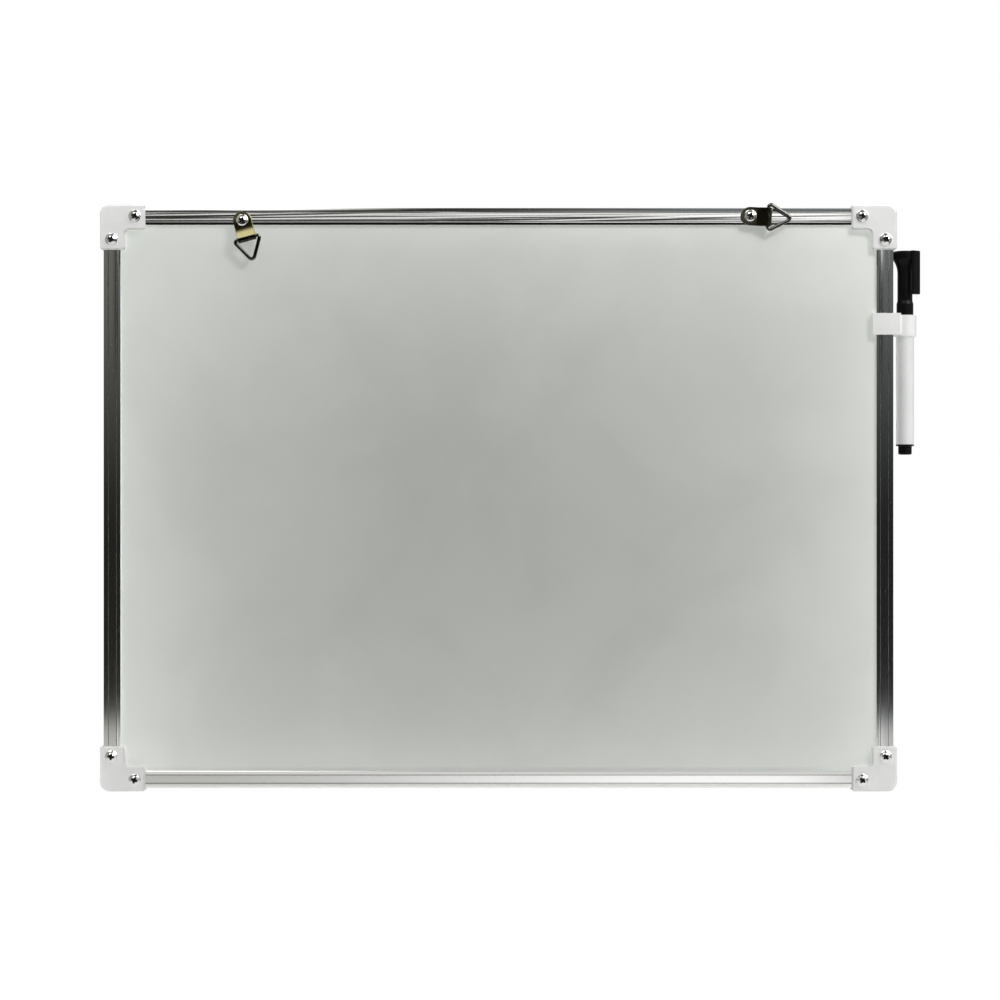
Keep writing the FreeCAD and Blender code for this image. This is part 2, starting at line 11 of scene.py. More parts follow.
import bmesh
import bpy
from bpy.props import FloatProperty, FloatVectorProperty, PointerProperty
from mathutils import Matrix, Vector


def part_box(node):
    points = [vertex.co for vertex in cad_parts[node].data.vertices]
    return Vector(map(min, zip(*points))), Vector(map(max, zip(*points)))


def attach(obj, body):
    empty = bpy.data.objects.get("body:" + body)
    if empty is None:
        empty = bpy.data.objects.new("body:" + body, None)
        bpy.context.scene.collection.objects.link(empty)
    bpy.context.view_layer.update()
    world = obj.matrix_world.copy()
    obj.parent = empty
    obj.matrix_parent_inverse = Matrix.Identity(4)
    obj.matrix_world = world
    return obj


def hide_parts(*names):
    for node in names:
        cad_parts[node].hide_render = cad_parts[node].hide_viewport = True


bl_info = {
    "name": "Framed dry-erase board",
    "version": (1, 0, 0),
    "blender": (4, 5, 0),
    "location": "3D View > Sidebar > Whiteboard",
    "description": "Finishes, rails, screws and stage for a framed dry-erase board",
    "category": "Object",
}

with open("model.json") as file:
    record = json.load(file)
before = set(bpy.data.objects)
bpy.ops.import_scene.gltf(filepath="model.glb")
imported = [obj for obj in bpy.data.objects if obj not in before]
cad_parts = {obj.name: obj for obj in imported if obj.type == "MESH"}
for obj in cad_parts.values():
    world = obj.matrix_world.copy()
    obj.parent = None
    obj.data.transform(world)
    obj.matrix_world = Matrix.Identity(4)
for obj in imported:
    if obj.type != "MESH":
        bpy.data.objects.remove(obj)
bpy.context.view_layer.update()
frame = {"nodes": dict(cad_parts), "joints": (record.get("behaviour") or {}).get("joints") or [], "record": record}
MM = 0.001

RAILS = {"top_rail": "X", "bottom_rail": "X", "left_rail": "Z", "right_rail": "Z"}
CORNERS = ("corner_top_left", "corner_top_right", "corner_bottom_right", "corner_bottom_left")
SIDES = ("left", "right")

# How far each corner's two screws are turned, in degrees and in the order of CORNERS: first on the level
# rail, then on the upright rail
SCREW_TURNS = ((38, 24), (12, 35), (41, 50), (18, 8))
HANGER_SCREW_TURNS = {"left": 30, "right": 20}

# Corner screws, from the corner's two outer edges
SCREW_FAR = 17.5 * MM
SCREW_NEAR = 5.82 * MM

# Screw heads: their rounded rim, their straight wall, and how much narrower the foot is
HEAD_RIM = 0.35 * MM
HEAD_WALL = 0.62 * MM
HEAD_FOOT_INSET = 0.08 * MM
RIM_INSET = 0.02 * MM
RIM_SHARE = 0.75
SCREW_POINT = 1.6 * MM
SCREW_EDGE = 0.06 * MM

# Cross recess: each end of a wing as (depth below the head's top, half span, half width), then the cup
WING_ENDS = ((-0.4 * MM, 2.1 * MM, 0.55 * MM), (1.3 * MM, 1.1 * MM, 0.42 * MM))
CUP_START = -0.3 * MM
CUP_DEPTH = 1.45 * MM
CUP_TIP = 0.2 * MM
CUP_TOP_RADIUS = 1.3 * MM
CUP_FLOOR_RADIUS = 0.7 * MM

# Rails: how deep the beads' edges lie, the holes for the screws, and which faces count as a groove, where the
# painted shade goes
BEAD_SINK = 0.03 * MM
DRILL_RADIUS = 1.45 * MM
DRILL_DEPTH = 8 * MM
GROOVE_REACH = 0.51
GROOVE_START = 0.1 * MM

# Where a strap's fold starts before the ring's bar, and the distance within which points are one
FOLD_LEAD = 0.55 * MM
MERGE_DISTANCE = 1e-7

# Depths of the fine relief in the finishes
PEEL_DEPTH = 0.006 * MM
FIBRE_DEPTH = 0.08 * MM
SKIN_DEPTH = 0.01 * MM
CAP_GRAIN_DEPTH = 0.006 * MM
BARREL_GRAIN_DEPTH = 0.005 * MM
FELT_DEPTH = 0.06 * MM
BRASS_PIT_DEPTH = 0.0008 * MM
BEND_PIT_DEPTH = 0.002 * MM
PLATING_PIT_DEPTH = 0.001 * MM

# Drawn metal: the stretch of its lines, and the spacing, slant and depth range of its long waves
LINE_STRETCH = 0.012
WAVES_ALONG = 5.0
WAVES_ACROSS = 600.0
WAVE_SLANT = 0.012
WAVE_FADE = (0.6 * MM, 1.2 * MM)


# Settings

def colour(name, description, default):
    """A colour that the user may change."""
    return FloatVectorProperty(
        name=name, description=description, subtype="COLOR", size=3, min=0.0, max=1.0, default=default
    )


def share(name, description, default):
    """A value from 0 to 1 that the user may change."""
    return FloatProperty(
        name=name, description=description, subtype="FACTOR", min=0.0, max=1.0, default=default
    )


def length(name, description, default):
    """A length in metres that the user may change."""
    return FloatProperty(
        name=name, description=description, subtype="DISTANCE", unit="LENGTH", default=default
    )


class WhiteboardPanelLook(bpy.types.PropertyGroup):
    """Colours and gloss of the panel's layers."""

    sheet: colour("Sheet", "Lacquer of both writing sheets", (0.785, 0.807, 0.768))
    sheet_cloud: colour("Sheet clouds", "Darker tone in the lacquer", (0.729, 0.756, 0.712))
    gloss: share("Gloss", "How much clear lacquer lies on the sheets", 0.2)
    core: colour("Core", "Fibreboard between the sheets", (0.3, 0.19, 0.1))
    core_fibre: colour("Core fibres", "Paler fibres in the board", (0.5, 0.36, 0.22))


class WhiteboardRailLook(bpy.types.PropertyGroup):
    """Finish of the four rails."""

    metal: colour("Metal", "Bright drawn aluminium", (0.87, 0.87, 0.85))
    # The grooves' colour is painted shade: a darker copy of the rail metal that stands for the shade in the
    # grooves
    groove: colour("Groove", "Dull metal in the grooves", (0.33, 0.33, 0.31))
    smooth: share("Smoothest", "Roughness between the drawing lines", 0.04)
    rough: share("Roughest", "Roughness along the drawing lines", 0.065)
    line_depth: length("Line depth", "Depth of the drawing lines", 0.0000003)
    wave_depth: length("Wave depth", "Depth of the long waves left by the rolls", 0.000001)
    top_wave_depth: length("Top wave depth", "The same on the top rail, the waviest", 0.00004)
    outer_bead: length("Outer bead", "Width of the bead along the outer edge", 0.0023)
    inner_bead: length("Inner bead", "Width of the bead beside the panel", 0.0018)
    bead_rise: length("Bead rise", "How far the two edge beads bulge", 0.00014)
    bead_fall: length("Bead fall", "Fall of the edge beads to the rail's edges", 0.0005)
    centre_crown: length("Centre crown", "How far the centre band bulges", 0.000006)
    groove_width: length("Groove width", "Width of the grooves between the beads", 0.0003)
    groove_depth: length("Groove depth", "Depth of the grooves between the beads", 0.00028)
    flange: length("Flange", "Thickness of the rail over the panel", 0.0015)
    web: length("Web", "Thickness of the rail's outer wall", 0.0012)


class WhiteboardMouldingLook(bpy.types.PropertyGroup):
    """White mouldings: the corner pieces and the pen clip."""

    white: colour("White", "Moulded plastic", (0.77, 0.773, 0.76))
    shade: colour("Flow tone", "Greyer tone where the plastic flowed together", (0.74, 0.743, 0.73))
    clip: colour("Clip", "Moulded plastic of the pen clip", (0.835, 0.837, 0.825))
    clip_shade: colour("Clip flow tone", "Greyer tone in the pen clip", (0.805, 0.807, 0.795))
    edge: length("Edge radius", "Rounding of the clip's sharp edges", 0.00018)
    grain: length("Grain depth", "Depth of the fine grain of the mould", 0.000008)


class WhiteboardHangerLook(bpy.types.PropertyGroup):
    """Plated hangers and screws."""

    strap: colour("Strap", "Brass plating of the straps", (0.2, 0.179, 0.088))
    strap_tarnish: colour("Tarnish", "Darker patches in the plating", (0.19, 0.17, 0.084))
    # The right strap's colour is painted shade: a darker copy of the brass plating that stands for the dark
    # reflections on that strap
    strap_painted_shade: colour("Dark strap", "Plating of the right strap, gone dark", (0.09, 0.083, 0.058))
    # The fold's colour is painted shade: darker plating where shade falls in the fold by the ring's bar
    strap_fold_painted_shade: colour("Bend", "Plating darkened at the fold", (0.06, 0.057, 0.04))
    ring: colour("Ring", "Dark nickel plating of the wire rings", (0.15, 0.148, 0.136))
    screw: colour("Screw", "Bright plating of the screws", (0.8, 0.8, 0.78))
    # The recesses' colour is painted shade: dark where shade falls in the screws' cross recesses
    recess: colour("Recess", "Dull dark metal in the screws' recesses", (0.022, 0.022, 0.02))
    strap_edge: length("Strap edge radius", "Rounding of the pressed edges", 0.00022)
    head_radius: length("Head radius", "Radius of the screw heads", 0.0031)
    head_height: length("Head height", "Height of the screw heads", 0.0022)
    shank_radius: length("Shank radius", "Radius of the screw shanks", 0.0014)


class WhiteboardMarkerLook(bpy.types.PropertyGroup):
    """Colours of the marker."""

    barrel: colour("Barrel", "White barrel", (0.745, 0.755, 0.745))
    barrel_shade: colour("Barrel flow tone", "Greyer tone along the barrel", (0.71, 0.72, 0.71))
    cap: colour("Cap", "Black cap and end plug", (0.0026, 0.003, 0.0027))
    cap_dust: colour("Cap dust", "Paler film of dust on the black plastic", (0.004, 0.0045, 0.0041))
    ink: colour("Ink", "Inked felt of the nib and reservoir", (0.008, 0.008, 0.01))
    felt: colour("Felt", "Felt fibres that the ink leaves paler", (0.045, 0.045, 0.05))
    edge: length("Edge radius", "Rounding of the marker's sharp edges", 0.0002)


class WhiteboardStageLook(bpy.types.PropertyGroup):
    """Camera, lamps and surroundings."""

    camera_distance: length("Camera distance", "From the camera to the face of the frame", 1.3)
    view_width: length("View width", "Width of the picture at the face of the frame", 0.5)
    view_x: length("View middle, across", "Middle of the picture, from the frame's middle", 0.00075)
    view_z: length("View middle, up", "Middle of the picture, from the top rail", -0.1418)
    floor_z: length("Floor", "Height of the floor", -0.42)
    ambient: share("Ambient", "Light from all round on matt surfaces", 0.03)


SETTINGS = {
    "whiteboard_panel": WhiteboardPanelLook,
    "whiteboard_rail": WhiteboardRailLook,
    "whiteboard_moulding": WhiteboardMouldingLook,
    "whiteboard_hanger": WhiteboardHangerLook,
    "whiteboard_marker": WhiteboardMarkerLook,
    "whiteboard_stage": WhiteboardStageLook,
}


# Nodes

class Nodes:
    """Short ways to add and join the nodes of one tree."""

    def __init__(self, tree):
        self.tree = tree

    def add(self, kind, inputs=None, **settings):
        """A node with its settings made, and its inputs, by name or number, filled or joined."""
        node = self.tree.nodes.new(kind)
        for name, value in settings.items():
            setattr(node, name, value)
        for name, value in (inputs or {}).items():
            self.fill(node.inputs[name], value)
        return node

    def fill(self, socket, value):
        """Joins an output to the socket, or sets the socket's own value."""
        if isinstance(value, bpy.types.NodeSocket):
            self.tree.links.new(value, socket)
        elif socket.type == "RGBA" and len(value) == 3:
            socket.default_value = (*value, 1.0)
        else:
            socket.default_value = value

    def place(self):
        """The point on the surface, in the piece's own metres."""
        return self.add("ShaderNodeTexCoord").outputs["Object"]

    def scaled(self, vector, scale):
        """The vector stretched along each axis."""
        return self.add("ShaderNodeMapping", {"Vector": vector, "Scale": scale}).outputs["Vector"]

    def noise(self, vector, scale, detail=2.0, roughness=0.5, distortion=0.0):
        """Cloudy noise from 0 to 1."""
        inputs = {
            "Vector": vector, "Scale": scale,
            "Detail": detail, "Roughness": roughness, "Distortion": distortion,
        }
        return self.add("ShaderNodeTexNoise", inputs).outputs[0]

    def math(self, operation, first, second=0.0, third=0.0):
        """One sum on values."""
        return self.add("ShaderNodeMath", {0: first, 1: second, 2: third}, operation=operation).outputs[0]

    def ramp(self, value, low, high, start=0.0, end=1.0):
        """A smooth step from start to end as the value goes from low to high."""
        inputs = {"Value": value, "From Min": low, "From Max": high, "To Min": start, "To Max": end}
        return self.add("ShaderNodeMapRange", inputs, interpolation_type="SMOOTHSTEP").outputs[0]

    def mix(self, factor, first, second):
        """A colour between two."""
        return self.add("ShaderNodeMix", {0: factor, 6: first, 7: second}, data_type="RGBA").outputs[2]

    def between(self, factor, first, second):
        """A value between two."""
        return self.add("ShaderNodeMix", {0: factor, 2: first, 3: second}, data_type="FLOAT").outputs[0]

    def window(self, value, low, low_soft, high, high_soft):
        """One inside low to high, nothing outside, with soft ends."""
        rising = self.ramp(value, low - low_soft, low + low_soft)
        return self.math("MULTIPLY", rising, self.ramp(value, high - high_soft, high + high_soft, 1.0, 0.0))

    def bump(self, height, distance, normal=None):
        """A normal that follows a height from 0 to 1."""
        inputs = {"Height": height, "Distance": distance}
        if normal is not None:
            inputs["Normal"] = normal
        return self.add("ShaderNodeBump", inputs).outputs["Normal"]

    def use(self, group, *values):
        """One of the shared groups, with its inputs filled in their order."""
        return self.add("ShaderNodeGroup", dict(enumerate(values)), node_tree=group).outputs


def shared_group(name, inputs, outputs, build):
    """A shader node group with these sockets, built once."""
    if name in bpy.data.node_groups:
        return bpy.data.node_groups[name]
    tree = bpy.data.node_groups.new(name, "ShaderNodeTree")
    for direction, sockets in (("INPUT", inputs), ("OUTPUT", outputs)):
        for label, kind in sockets.items():
            tree.interface.new_socket(name=label, in_out=direction, socket_type="NodeSocket" + kind)
    nodes = Nodes(tree)
    source = nodes.add("NodeGroupInput").outputs
    nodes.add("NodeGroupOutput", build(nodes, source))
    return tree


def clouded_tone(nodes, vector, scale, tone, cloud):
    """A colour that drifts between two tones over the surface."""
    def build(inner, source):
        mask = inner.ramp(inner.noise(source["Vector"], source["Scale"], 4.0, 0.55, 0.4), 0.34, 0.66)
        return {"Color": inner.mix(mask, source["Tone"], source["Cloud"])}

    inputs = {"Vector": "Vector", "Scale": "Float", "Tone": "Color", "Cloud": "Color"}
    group = shared_group("clouded tone", inputs, {"Color": "Color"}, build)
    return nodes.use(group, vector, scale, tone, cloud)["Color"]


def drawn_lines(nodes, vector, scale, smooth, rough):
    """Height and roughness of drawing lines, along the axis that the vector is shrunk on."""
    def build(inner, source):
        fine = inner.noise(source["Vector"], source["Scale"], 3.0, 0.6)
        coarse = inner.noise(source["Vector"], inner.math("MULTIPLY", source["Scale"], 0.17), 2.0, 0.5)
        height = inner.math("MULTIPLY_ADD", coarse, 0.6, inner.math("MULTIPLY", fine, 0.4))
        roughness = inner.add("ShaderNodeMapRange", {
            "Value": fine, "From Min": 0.25, "From Max": 0.75,
            "To Min": source["Smooth"], "To Max": source["Rough"],
        }).outputs[0]
        return {"Height": height, "Roughness": roughness}

    inputs = {"Vector": "Vector", "Scale": "Float", "Smooth": "Float", "Rough": "Float"}
    group = shared_group("drawn lines", inputs, {"Height": "Float", "Roughness": "Float"}, build)
    return nodes.use(group, vector, scale, smooth, rough)


def handled_surface(nodes, vector, scale, roughness, wear):
    """Roughness of a surface that hands and cloths have touched: faint smears, a few hairline scratches."""
    def build(inner, source):
        smear = inner.ramp(inner.noise(source["Vector"], source["Scale"], 3.0, 0.6, 0.8), 0.4, 0.75)
        bent = inner.scaled(source["Vector"], (0.35, 1.0, 1.7))
        cells = inner.add("ShaderNodeTexVoronoi", {
            "Vector": bent, "Scale": inner.math("MULTIPLY", source["Scale"], 3.0),
        }, feature="DISTANCE_TO_EDGE").outputs["Distance"]
        hairline = inner.ramp(cells, 0.0, 0.012, 1.0, 0.0)
        wide = inner.noise(source["Vector"], inner.math("MULTIPLY", source["Scale"], 0.7))
        scratch = inner.math("MULTIPLY", hairline, inner.ramp(wide, 0.52, 0.62))
        worn = inner.math("MULTIPLY_ADD", scratch, 0.5, smear)
        return {"Roughness": inner.math("MULTIPLY_ADD", worn, source["Wear"], source["Roughness"])}

    inputs = {"Vector": "Vector", "Scale": "Float", "Roughness": "Float", "Wear": "Float"}
    group = shared_group("handled surface", inputs, {"Roughness": "Float"}, build)
    return nodes.use(group, vector, scale, roughness, wear)["Roughness"]


def moulded_grain(nodes, vector, scale):
    """Height of the fine even grain that a mould leaves, over slow flow waves."""
    def build(inner, source):
        grain = inner.noise(source["Vector"], source["Scale"], 2.0, 0.6)
        flow = inner.noise(source["Vector"], inner.math("MULTIPLY", source["Scale"], 0.04), 1.0)
        return {"Height": inner.math("MULTIPLY_ADD", flow, 0.8, inner.math("MULTIPLY", grain, 0.2))}

    inputs = {"Vector": "Vector", "Scale": "Float"}
    group = shared_group("moulded grain", inputs, {"Height": "Float"}, build)
    return nodes.use(group, vector, scale)["Height"]


def finish(name, build, **plain):
    """A material whose even values are set on the shader and whose patterns come from build."""
    material = bpy.data.materials.new(name)
    material.use_nodes = True
    shader = material.node_tree.nodes["Principled BSDF"]
    nodes = Nodes(material.node_tree)
    for socket, value in plain.items():
        nodes.fill(shader.inputs[socket.replace("_", " ")], value)
    for socket, value in build(nodes).items():
        nodes.fill(shader.inputs[socket], value)
    return material


def dimmed(tone, share):
    """A darker tone: this share of each of its parts."""
    return [value * share for value in tone]


def lacquered_sheet(look):
    """Pale lacquer on sheet metal: faint clouds, wiping smears and an even orange peel."""
    def build(nodes):
        place = nodes.place()
        tone = clouded_tone(nodes, place, 13.0, look.sheet, look.sheet_cloud)
        wiped = handled_surface(nodes, place, 24.0, roughness=0.3, wear=0.12)
        peel = nodes.noise(place, 620.0, 2.0)
        return {"Base Color": tone, "Roughness": wiped, "Normal": nodes.bump(peel, PEEL_DEPTH)}

    return finish("lacquered sheet", build, Coat_Weight=look.gloss, Coat_Roughness=0.12)


def fibreboard(look):
    """Brown board of pressed fibres."""
    def build(nodes):
        pressed = nodes.scaled(nodes.place(), (1.0, 4.0, 1.0))
        fibre = nodes.noise(pressed, 900.0, 4.0, 0.7)
        tone = clouded_tone(nodes, pressed, 500.0, look.core, look.core_fibre)
        return {"Base Color": tone, "Normal": nodes.bump(fibre, FIBRE_DEPTH)}

    return finish("fibreboard", build, Roughness=0.85)


def drawn_aluminium(name, look, axis, wave_depth):
    """Bright aluminium with drawing lines along one axis, and long slanted waves on the hanger side."""
    level = axis == "X"
    stretch = (LINE_STRETCH, 1.0, 1.0) if level else (1.0, 1.0, LINE_STRETCH)
    waves = (WAVES_ALONG, 0.0, WAVES_ACROSS) if level else (WAVES_ACROSS, 0.0, WAVES_ALONG)

    def build(nodes):
        place = nodes.place()
        lines = drawn_lines(nodes, nodes.scaled(place, stretch), 2600.0, look.smooth, look.rough)
        turned = {"Vector": place, "Angle": WAVE_SLANT}
        slanted = nodes.add("ShaderNodeVectorRotate", turned, rotation_type="Y_AXIS")
        wave = nodes.noise(nodes.scaled(slanted.outputs[0], waves), 1.0, 1.0, 0.5, 0.3)
        deep = nodes.add("ShaderNodeSeparateXYZ", {"Vector": place}).outputs["Y"]
        faded = nodes.math("MULTIPLY", wave, nodes.ramp(deep, *WAVE_FADE, 1.0, 0.0))
        rolled = nodes.bump(faded, wave_depth)
        return {
            "Roughness": lines["Roughness"],
            "Normal": nodes.bump(lines["Height"], look.line_depth, rolled),
        }

    return finish(name, build, Base_Color=look.metal, Metallic=1.0)


def painted_shade_metal(name, tone, **plain):
    """Metal darkened with painted shade for grooves and recesses, with uneven patches and a coarse uneven skin."""
    def build(nodes):
        place = nodes.place()
        patches = clouded_tone(nodes, place, 900.0, tone, dimmed(tone, 0.6))
        skin = nodes.noise(place, 3000.0, 3.0, 0.65)
        return {"Base Color": patches, "Normal": nodes.bump(skin, SKIN_DEPTH)}

    return finish(name, build, **plain)


def moulded_white(name, tone, shade, grain):
    """White moulded plastic with flow tones and a fine grain."""
    def build(nodes):
        place = nodes.place()
        flow = clouded_tone(nodes, place, 110.0, tone, shade)
        touched = handled_surface(nodes, place, 180.0, roughness=0.34, wear=0.14)
        height = moulded_grain(nodes, place, 3200.0)
        return {"Base Color": flow, "Roughness": touched, "Normal": nodes.bump(height, grain)}

    return finish(name, build, Coat_Weight=0.08, Coat_Roughness=0.2)


def plated(name, tone, cloud, roughness, wear, depth):
    """Plated steel: slightly uneven colour, handling marks and fine pits."""
    def build(nodes):
        place = nodes.place()
        patches = clouded_tone(nodes, place, 420.0, tone, cloud)
        touched = handled_surface(nodes, place, 500.0, roughness, wear)
        pits = nodes.noise(place, 2200.0, 3.0, 0.6)
        return {"Base Color": patches, "Roughness": touched, "Normal": nodes.bump(pits, depth)}

    return finish(name, build, Metallic=1.0)


def black_moulding(look):
    """Glossy black plastic with a little dust and handling wear."""
    def build(nodes):
        place = nodes.place()
        dust = clouded_tone(nodes, place, 260.0, look.cap, look.cap_dust)
        touched = handled_surface(nodes, place, 300.0, roughness=0.3, wear=0.08)
        height = moulded_grain(nodes, place, 2600.0)
        return {"Base Color": dust, "Roughness": touched, "Normal": nodes.bump(height, CAP_GRAIN_DEPTH)}

    return finish("black moulding", build, Specular_IOR_Level=0.12)


def inked_felt(name, look):
    """Felt soaked in ink, with its fibres along the marker."""
    def build(nodes):
        fibres = nodes.scaled(nodes.place(), (1.0, 1.0, 0.12))
        tone = clouded_tone(nodes, fibres, 2400.0, look.ink, look.felt)
        height = nodes.noise(fibres, 5200.0, 3.0, 0.65)
        return {"Base Color": tone, "Normal": nodes.bump(height, FELT_DEPTH)}

    return finish(name, build, Roughness=0.95, Sheen_Weight=0.25)


# Meshes

def dress(node, material):
    """Gives a packed node its finish."""
    frame["nodes"][node].material_slots[0].material = material


def body_of(node):
    """The body that a node moves with."""
    for body, nodes in frame["record"]["behaviour"]["bodies"].items():
        if node in nodes:
            return body
    raise RuntimeError("no body holds " + node)


def placed(name, data):
    """A new object in the scene."""
    thing = bpy.data.objects.new(name, data)
    bpy.context.scene.collection.objects.link(thing)
    return thing


def piece_for(node, name, mesh):
    """A new piece that stands for a packed node and moves with its body."""
    piece = placed(name, mesh)
    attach(piece, body_of(node))
    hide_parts(node)
    return piece


def with_modifiers(mesh, *modifiers):
    """The mesh after these modifiers, each given as (kind, settings)."""
    holder = placed("holder", mesh)
    for kind, settings in modifiers:
        modifier = holder.modifiers.new(kind, kind)
        for name, value in settings.items():
            setattr(modifier, name, value)
    bpy.context.view_layer.update()
    result = bpy.data.meshes.new_from_object(holder.evaluated_get(bpy.context.evaluated_depsgraph_get()))
    bpy.data.objects.remove(holder)
    bpy.data.meshes.remove(mesh)
    return result


def mesh_from(bm, name, *materials):
    """A mesh of the bmesh, which is freed, with these materials."""
    mesh = bpy.data.meshes.new(name)
    bm.to_mesh(mesh)
    bm.free()
    for material in materials:
        mesh.materials.append(material)
    return mesh


def rounded_mesh(node, radius, *materials, second=None):
    """The packed node's mesh with rounded edges. Faces that second picks take the second material."""
    bm = bmesh.new()
    bm.from_mesh(frame["nodes"][node].data)
    bmesh.ops.remove_doubles(bm, verts=bm.verts, dist=MERGE_DISTANCE)
    bmesh.ops.dissolve_limit(bm, angle_limit=math.radians(0.4), verts=bm.verts, edges=bm.edges)
    for face in bm.faces:
        face.material_index = int(second is not None and second(face))
    mesh = mesh_from(bm, node, *materials)
    if "custom_normal" in mesh.attributes:
        mesh.attributes.remove(mesh.attributes["custom_normal"])
    mesh.shade_smooth()
    rounding = {"width": radius, "segments": 3, "limit_method": "ANGLE", "angle_limit": math.radians(30)}
    return with_modifiers(mesh, ("BEVEL", rounding), ("WEIGHTED_NORMAL", {"keep_sharp": True}))


def bulged(start, end, rise, count=14):
    """Points on a shallow arc of a section, which stands rise above the chord towards smaller depths."""
    start, end = Vector(start), Vector(end)
    along = (end - start).normalized()
    out = Vector((along.y, -along.x))
    half_chord = (end - start).length / 2
    radius = (half_chord**2 + rise**2) / (2 * rise)
    half_angle = math.asin(half_chord / radius)
    centre = (start + end) / 2 - out * (radius - rise)
    angles = [half_angle * (2 * step / count - 1) for step in range(count + 1)]
    return [tuple(centre + radius * (math.cos(a) * out + math.sin(a) * along)) for a in angles]


def rail_section(look, width, depth):
    """Closed section of a rail, with three beads on each face and a slot for the panel.

    Its points are (across from the rail's outer edge, deep).
    """
    inner_start = width - look.inner_bead
    centre = (look.outer_bead + look.groove_width, inner_start - look.groove_width)
    half = bulged((0.0, look.bead_fall), (look.outer_bead, BEAD_SINK), look.bead_rise)
    half += [(look.outer_bead, look.groove_depth), (centre[0], look.groove_depth)]
    half += bulged((centre[0], BEAD_SINK), (centre[1], BEAD_SINK), look.centre_crown)
    half += [(centre[1], look.groove_depth), (inner_start, look.groove_depth)]
    half += bulged((inner_start, BEAD_SINK), (width, look.bead_fall), look.bead_rise)
    half += [(width, look.flange), (look.web, look.flange)]
    return half + [(across, depth - deep) for across, deep in reversed(half)]


def rail_mesh(node, look, *materials):
    """A rail drawn from its section and drilled for its screws. The grooves take the second material, which
    carries painted shade.
    """
    low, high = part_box(node)
    level = RAILS[node] == "X"
    width, depth = (high.z - low.z if level else high.x - low.x), high.y - low.y

    def spot(across, deep, end):
        if level:
            return (end.x, low.y + deep, high.z - across if node == "top_rail" else low.z + across)
        return (low.x + across if node == "left_rail" else high.x - across, low.y + deep, end.z)

    bm = bmesh.new()
    section = rail_section(look, width, depth)
    rings = [[bm.verts.new(spot(*point, end)) for point in section] for end in (low, high)]
    grooves = (look.outer_bead + look.groove_width / 2, width - look.inner_bead - look.groove_width / 2)
    for index in range(len(section)):
        after = (index + 1) % len(section)
        face = bm.faces.new((rings[0][index], rings[0][after], rings[1][after], rings[1][index]))
        across = (section[index][0] + section[after][0]) / 2
        deepest = max(min(point[1], depth - point[1]) for point in (section[index], section[after]))
        near = min(abs(across - middle) for middle in grooves) < GROOVE_REACH * look.groove_width
        face.material_index = int(near and GROOVE_START < deepest < look.bead_fall)
    for ring in rings:
        bm.faces.new(ring)
    bmesh.ops.recalc_face_normals(bm, faces=bm.faces)
    cutter = placed("drill", mesh_from(drills(low, high), "drill", *materials))
    drilled = {"operation": "DIFFERENCE", "solver": "EXACT", "object": cutter}
    mesh = with_modifiers(mesh_from(bm, node, *materials), ("BOOLEAN", drilled))
    bpy.data.meshes.remove(cutter.data)
    mesh.shade_smooth()
    mesh.set_sharp_from_angle(angle=math.radians(28))
    return mesh


def drills(low, high):
    """Cutting solids for the screws that stand within this box."""
    bm = bmesh.new()
    for x, z in screw_spots():
        if low.x < x < high.x and low.z < z < high.z:
            place = Matrix.Translation((x, low.y, z)) @ Matrix.Rotation(math.pi / 2, 4, "X")
            bmesh.ops.create_cone(
                bm, cap_ends=True, segments=32,
                radius1=DRILL_RADIUS, radius2=DRILL_RADIUS, depth=DRILL_DEPTH, matrix=place,
            )
    return bm


def corner_spots(node):
    """Where a corner's two screws stand, as (x, z): on the level rail, then on the upright rail."""
    low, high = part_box(node)
    outer = Vector((low.x if "left" in node else high.x, high.z if "top" in node else low.z))
    inward = Vector((1 if "left" in node else -1, -1 if "top" in node else 1))
    insets = ((SCREW_FAR, SCREW_NEAR), (SCREW_NEAR, SCREW_FAR))
    return [outer + Vector((inward.x * across, inward.y * up)) for across, up in insets]


def hanger_spot(side):
    """Where a hanger's screw stands, as (x, z)."""
    low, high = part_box("hanger_" + side + "_screw")
    return Vector(((low.x + high.x) / 2, (low.z + high.z) / 2))


def screw_spots():
    """Where all ten screws stand, as (x, z)."""
    return [spot for node in CORNERS for spot in corner_spots(node)] + [hanger_spot(side) for side in SIDES]


def lathe(profile, steps):
    """Closed mesh turned about the Y axis from (radius, y) points that start and end on it."""
    bm = bmesh.new()
    verts = [bm.verts.new((radius, y, 0.0)) for radius, y in profile]
    edges = [bm.edges.new(pair) for pair in zip(verts, verts[1:])]
    bmesh.ops.spin(
        bm, geom=verts + edges, cent=(0, 0, 0), axis=(0, 1, 0), angle=math.tau, steps=steps, use_merge=True
    )
    bmesh.ops.remove_doubles(bm, verts=bm.verts, dist=MERGE_DISTANCE)
    bmesh.ops.recalc_face_normals(bm, faces=bm.faces)
    return bm


def arc(centre, radius, start, end, count):
    """Points on an arc of a profile, from start to end in degrees."""
    angles = [math.radians(start + (end - start) * step / count) for step in range(count + 1)]
    return [(centre[0] + radius * math.cos(a), centre[1] + radius * math.sin(a)) for a in angles]


def screw_profile(look, tip):
    """Half section of a pan-head screw as (radius, y): its seat at y = 0, its head towards -Y."""
    dome_edge = look.head_radius - HEAD_RIM
    rise = look.head_height - HEAD_WALL - HEAD_RIM * RIM_SHARE
    dome = (dome_edge**2 + rise**2) / (2 * rise)
    half = math.degrees(math.asin(dome_edge / dome))
    top = arc((0.0, dome - look.head_height), dome, -90, half - 90, 9)
    lip = arc((dome_edge - RIM_INSET, -HEAD_WALL), HEAD_RIM, half - 80, 0, 5)
    foot = [(look.head_radius - HEAD_FOOT_INSET, 0.0), (look.shank_radius, 0.0)]
    end = [(look.shank_radius, tip - SCREW_POINT), (0.0, tip)]
    return [(0.0, -look.head_height)] + top[1:] + lip + foot + end


